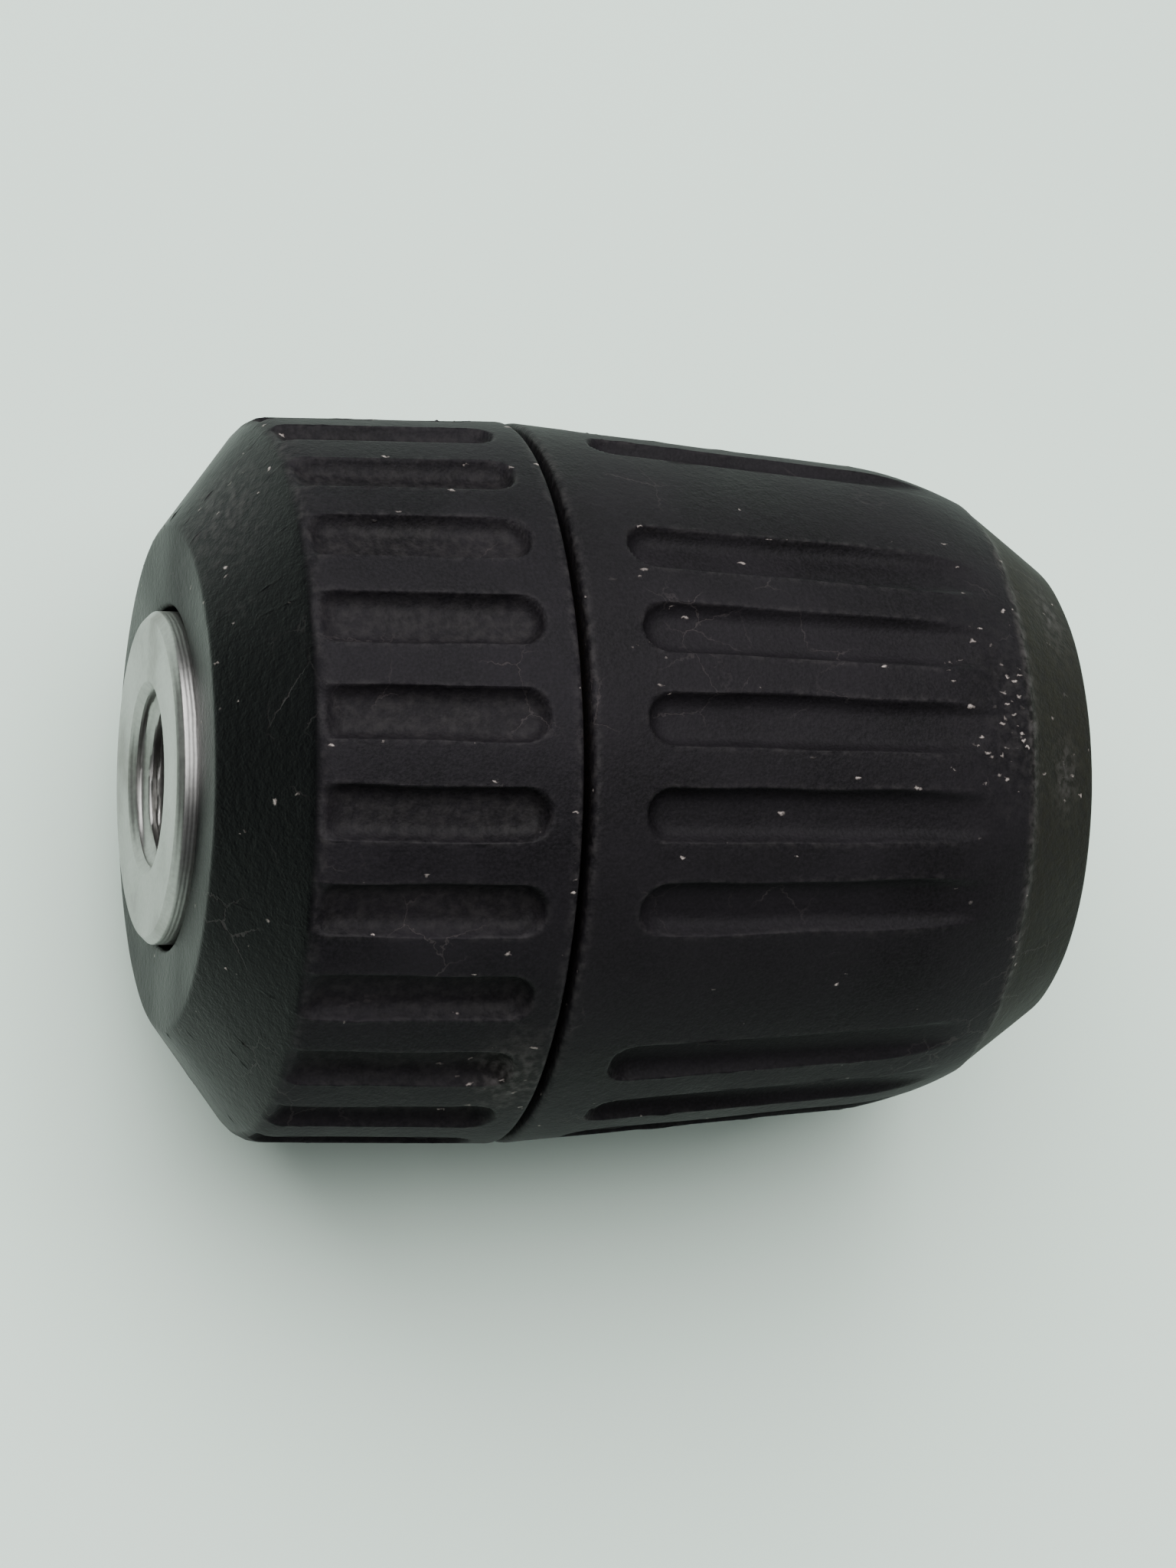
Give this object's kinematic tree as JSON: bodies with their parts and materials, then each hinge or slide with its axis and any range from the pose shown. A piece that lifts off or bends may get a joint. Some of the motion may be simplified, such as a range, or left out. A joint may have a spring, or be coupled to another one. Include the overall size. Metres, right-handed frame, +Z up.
{
  "type": "keyless drill chuck",
  "caption": "Keyless three-jaw drill chuck with a fluted hand sleeve, a fixed grip ring, a split nut and thrust bearing, and a threaded spindle socket.",
  "frame": {"origin": "centre of the rear seating face, where the spindle enters", "axes": "+X along the spindle axis towards the nose, +Z up, as the chuck lies"},
  "size_m": [0.0496, 0.0396, 0.0396],
  "materials": {
    "sleeve_plastic": "black glass-filled nylon, fine moulded grain, scuffed",
    "body_steel": "turned steel with thin rust in the corners",
    "ring_steel": "pressed steel, dull bright",
    "jaw_steel": "hardened and ground dark steel",
    "nut_steel": "phosphated dark steel, oiled",
    "bearing_steel": "hardened ground bearing steel",
    "cage_brass": "pressed brass"
  },
  "bodies": {
    "core": {"chuck_body": "body_steel", "rear_sleeve": "sleeve_plastic", "nose_ring": "ring_steel", "thrust_washer_rear": "bearing_steel"},
    "sleeve_and_nut": {"front_sleeve": "sleeve_plastic", "nut_half_a": "nut_steel", "nut_half_b": "nut_steel", "nut_shell": "nut_steel", "thrust_washer_front": "bearing_steel"},
    "cage_and_balls": {"ball_cage": "cage_brass", "bearing_ball_01": "bearing_steel", "bearing_ball_02": "bearing_steel", "bearing_ball_03": "bearing_steel", "bearing_ball_04": "bearing_steel", "bearing_ball_05": "bearing_steel", "bearing_ball_06": "bearing_steel", "bearing_ball_07": "bearing_steel", "bearing_ball_08": "bearing_steel", "bearing_ball_09": "bearing_steel", "bearing_ball_10": "bearing_steel", "bearing_ball_11": "bearing_steel", "bearing_ball_12": "bearing_steel", "bearing_ball_13": "bearing_steel", "bearing_ball_14": "bearing_steel", "bearing_ball_15": "bearing_steel", "bearing_ball_16": "bearing_steel", "bearing_ball_17": "bearing_steel", "bearing_ball_18": "bearing_steel", "bearing_ball_19": "bearing_steel", "bearing_ball_20": "bearing_steel"},
    "jaw_a": {"jaw_1": "jaw_steel"},
    "jaw_b": {"jaw_2": "jaw_steel"},
    "jaw_c": {"jaw_3": "jaw_steel"}
  },
  "joints": [
    {"name": "sleeve_turn", "type": "hinge", "parent": "core", "child": "sleeve_and_nut", "pos_m": [0, 0, 0], "axis": [-1, 0, 0], "range_deg": [0, 4220]},
    {"name": "cage_turn", "type": "hinge", "parent": "core", "child": "cage_and_balls", "pos_m": [0, 0, 0], "axis": [-1, 0, 0], "range_deg": [0, 2110]},
    {"name": "jaw_1_slide", "type": "slide", "parent": "core", "child": "jaw_a", "axis": [0.9636, 0, -0.2672], "range_m": [0, 0.0176]},
    {"name": "jaw_2_slide", "type": "slide", "parent": "core", "child": "jaw_b", "axis": [0.9636, 0.2314, 0.1336], "range_m": [0, 0.0176]},
    {"name": "jaw_3_slide", "type": "slide", "parent": "core", "child": "jaw_c", "axis": [0.9636, -0.2314, 0.1336], "range_m": [0, 0.0176]}
  ],
  "couplings": [
    {"joint": "cage_turn", "follows": "sleeve_turn", "ratio": 0.5},
    {"joint": "jaw_1_slide", "follows": "sleeve_turn", "m_per_rad": 0.00023873},
    {"joint": "jaw_2_slide", "follows": "sleeve_turn", "m_per_rad": 0.00023873},
    {"joint": "jaw_3_slide", "follows": "sleeve_turn", "m_per_rad": 0.00023873}
  ]
}
